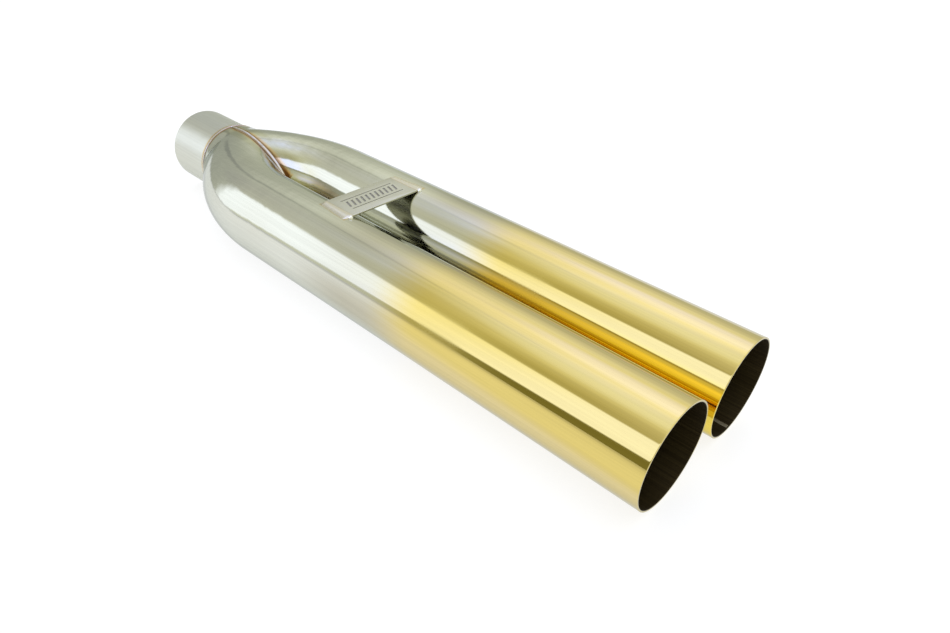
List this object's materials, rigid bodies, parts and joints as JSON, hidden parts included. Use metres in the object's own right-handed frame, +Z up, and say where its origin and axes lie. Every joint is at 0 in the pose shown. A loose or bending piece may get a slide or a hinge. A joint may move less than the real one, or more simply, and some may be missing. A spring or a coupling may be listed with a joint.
{
  "type": "twin-outlet exhaust tailpipe",
  "caption": "Welded stainless exhaust tail section: a round inlet collar splits into two bent pipes that run side by side to open, square-cut, gold-tinted outlets, bridged by a small plate.",
  "frame": {"origin": "centre of the footprint, at the height of the lowest point", "axes": "+Y along the pipes from the outlets to the inlet, +X across from the left pipe to the right pipe, +Z up, out of the bridging plate's face"},
  "size_m": [0.172, 0.63, 0.083],
  "materials": {
    "polished_steel": "polished stainless steel",
    "gold_tinted_steel": "polished stainless steel, tinted gold towards the outlets and fading to bare metal at the bends",
    "satin_steel": "fine satin stainless steel",
    "weld_metal": "bright rippled weld bead with a straw and violet heat tint"
  },
  "bodies": {
    "root": {"inlet_collar": "polished_steel", "left_pipe": "gold_tinted_steel", "right_pipe": "gold_tinted_steel", "collar_weld_left": "weld_metal", "collar_weld_right": "weld_metal", "seam_weld_upper": "weld_metal", "seam_weld_lower": "weld_metal", "bridge_plate": "satin_steel", "plate_weld_left": "weld_metal", "plate_weld_right": "weld_metal", "plate_tack_left": "weld_metal", "plate_tack_right": "weld_metal"}
  },
  "joints": []
}
